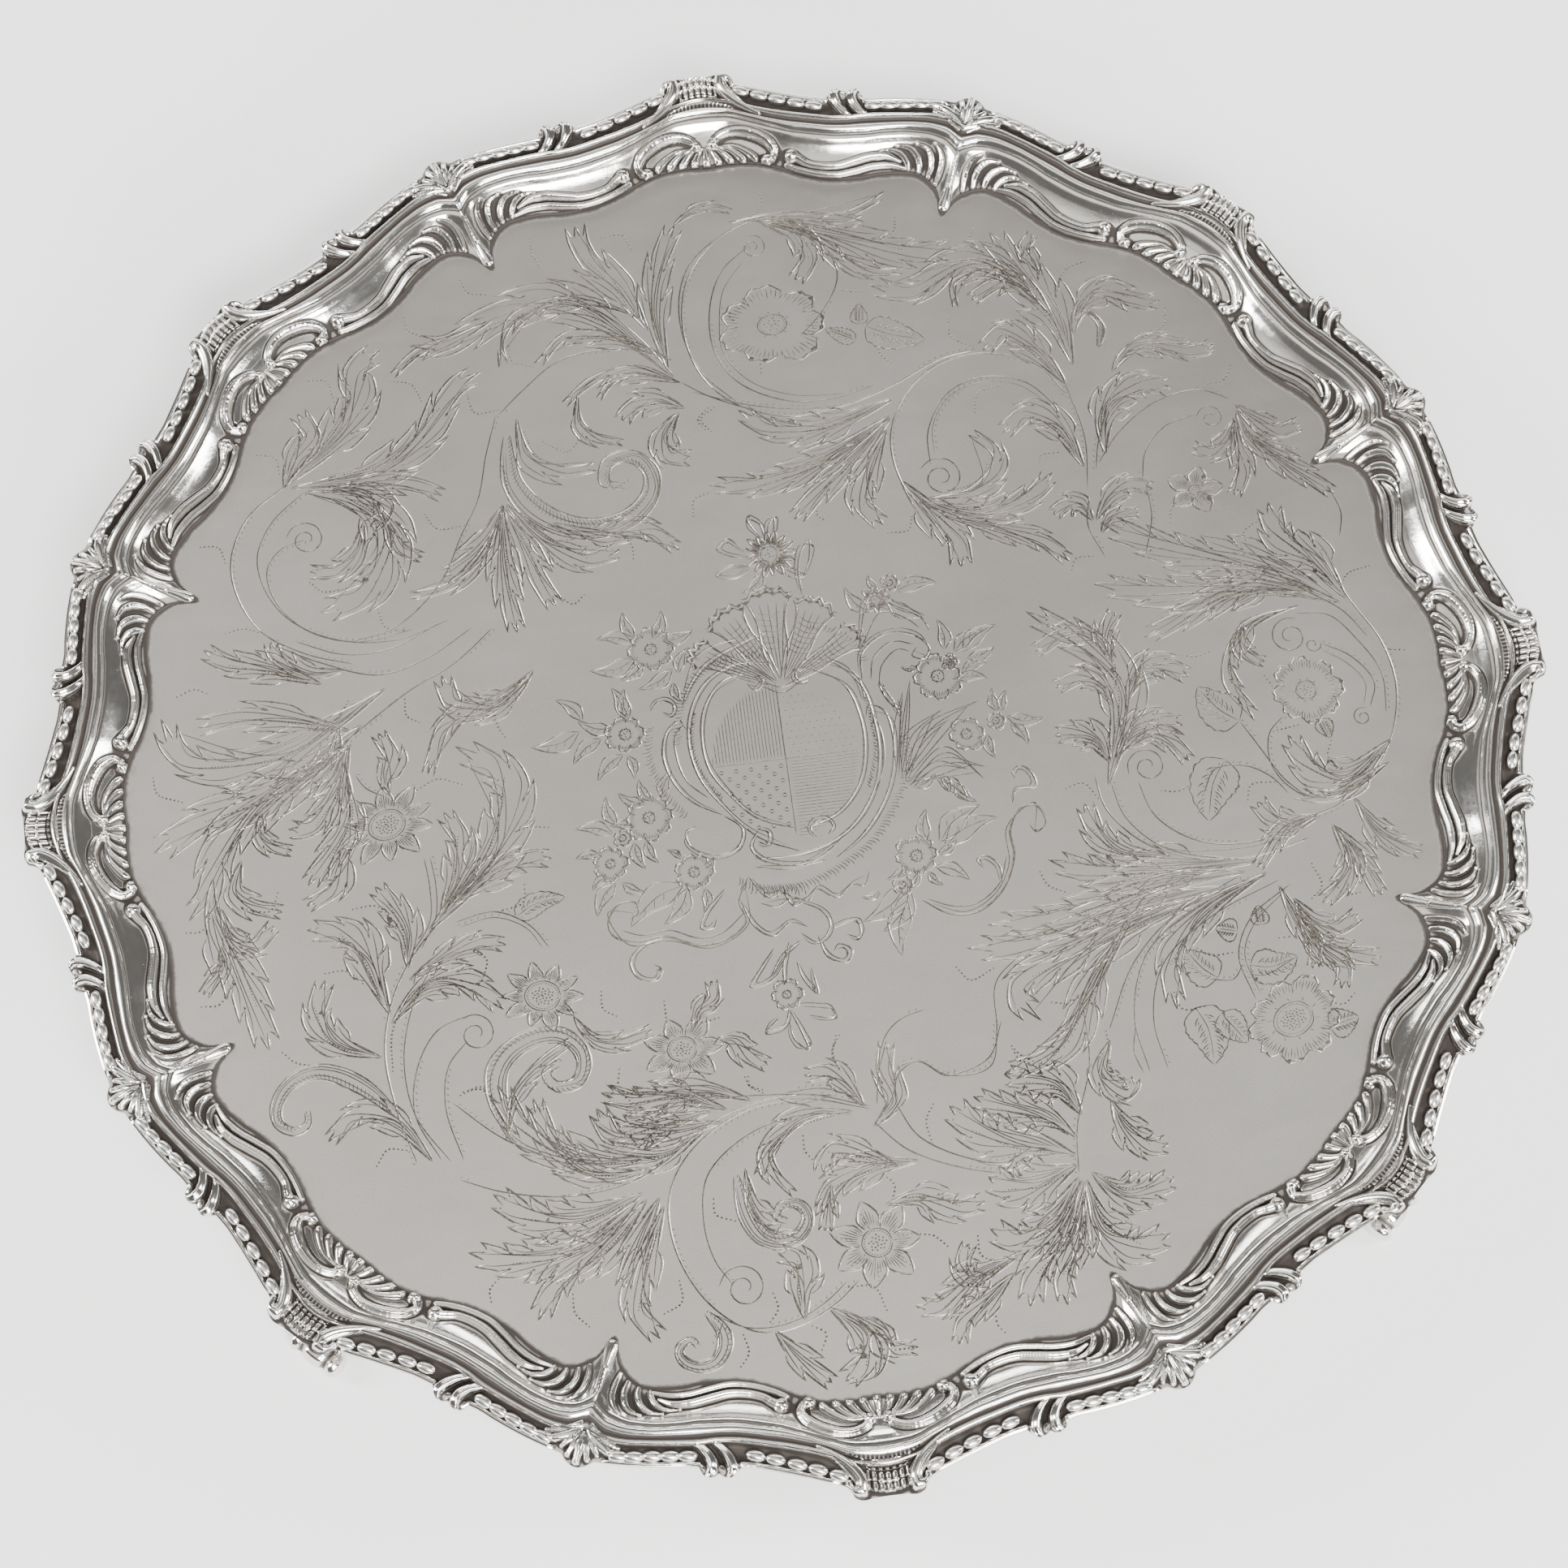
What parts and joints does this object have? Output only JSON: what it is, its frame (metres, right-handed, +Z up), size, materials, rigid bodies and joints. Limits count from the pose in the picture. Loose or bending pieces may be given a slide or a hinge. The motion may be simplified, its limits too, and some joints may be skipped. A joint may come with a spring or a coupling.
{
  "type": "silver salver",
  "caption": "Flat engraved plate in a shaped and moulded border with shells, scrolls and corner fans, on scroll feet.",
  "frame": {"origin": "on the surface that the feet stand on, under the centre of the plate", "axes": "+Z up, square to the plate; +Y through the middle of one corner fan; +X through another, a quarter turn clockwise seen from above"},
  "size_m": [0.5092, 0.5092, 0.0475],
  "materials": {
    "plate": "rolled silver sheet, satin from polishing and use, finely scratched, engraved",
    "border": "cast silver, bright on the ridges, dark tarnish in the hollows",
    "mounts": "cast and chased silver, bright on the high points, dark in the cuts",
    "feet": "cast silver, worn bright on the toe"
  },
  "bodies": {
    "root": {"centre_plate": "plate", "rim_section_1": "border", "corner_fan_1": "mounts", "shell_mount_1": "mounts", "scroll_mount_left_1": "mounts", "scroll_mount_right_1": "mounts", "spur_mount_1": "mounts", "rim_section_2": "border", "corner_fan_2": "mounts", "shell_mount_2": "mounts", "scroll_mount_left_2": "mounts", "scroll_mount_right_2": "mounts", "spur_mount_2": "mounts", "rim_section_3": "border", "corner_fan_3": "mounts", "shell_mount_3": "mounts", "scroll_mount_left_3": "mounts", "scroll_mount_right_3": "mounts", "spur_mount_3": "mounts", "rim_section_4": "border", "corner_fan_4": "mounts", "shell_mount_4": "mounts", "scroll_mount_left_4": "mounts", "scroll_mount_right_4": "mounts", "spur_mount_4": "mounts", "rim_section_5": "border", "corner_fan_5": "mounts", "shell_mount_5": "mounts", "scroll_mount_left_5": "mounts", "scroll_mount_right_5": "mounts", "spur_mount_5": "mounts", "rim_section_6": "border", "corner_fan_6": "mounts", "shell_mount_6": "mounts", "scroll_mount_left_6": "mounts", "scroll_mount_right_6": "mounts", "spur_mount_6": "mounts", "rim_section_7": "border", "corner_fan_7": "mounts", "shell_mount_7": "mounts", "scroll_mount_left_7": "mounts", "scroll_mount_right_7": "mounts", "spur_mount_7": "mounts", "rim_section_8": "border", "corner_fan_8": "mounts", "shell_mount_8": "mounts", "scroll_mount_left_8": "mounts", "scroll_mount_right_8": "mounts", "spur_mount_8": "mounts", "foot_1": "feet", "foot_2": "feet", "foot_3": "feet", "foot_4": "feet"}
  },
  "joints": []
}
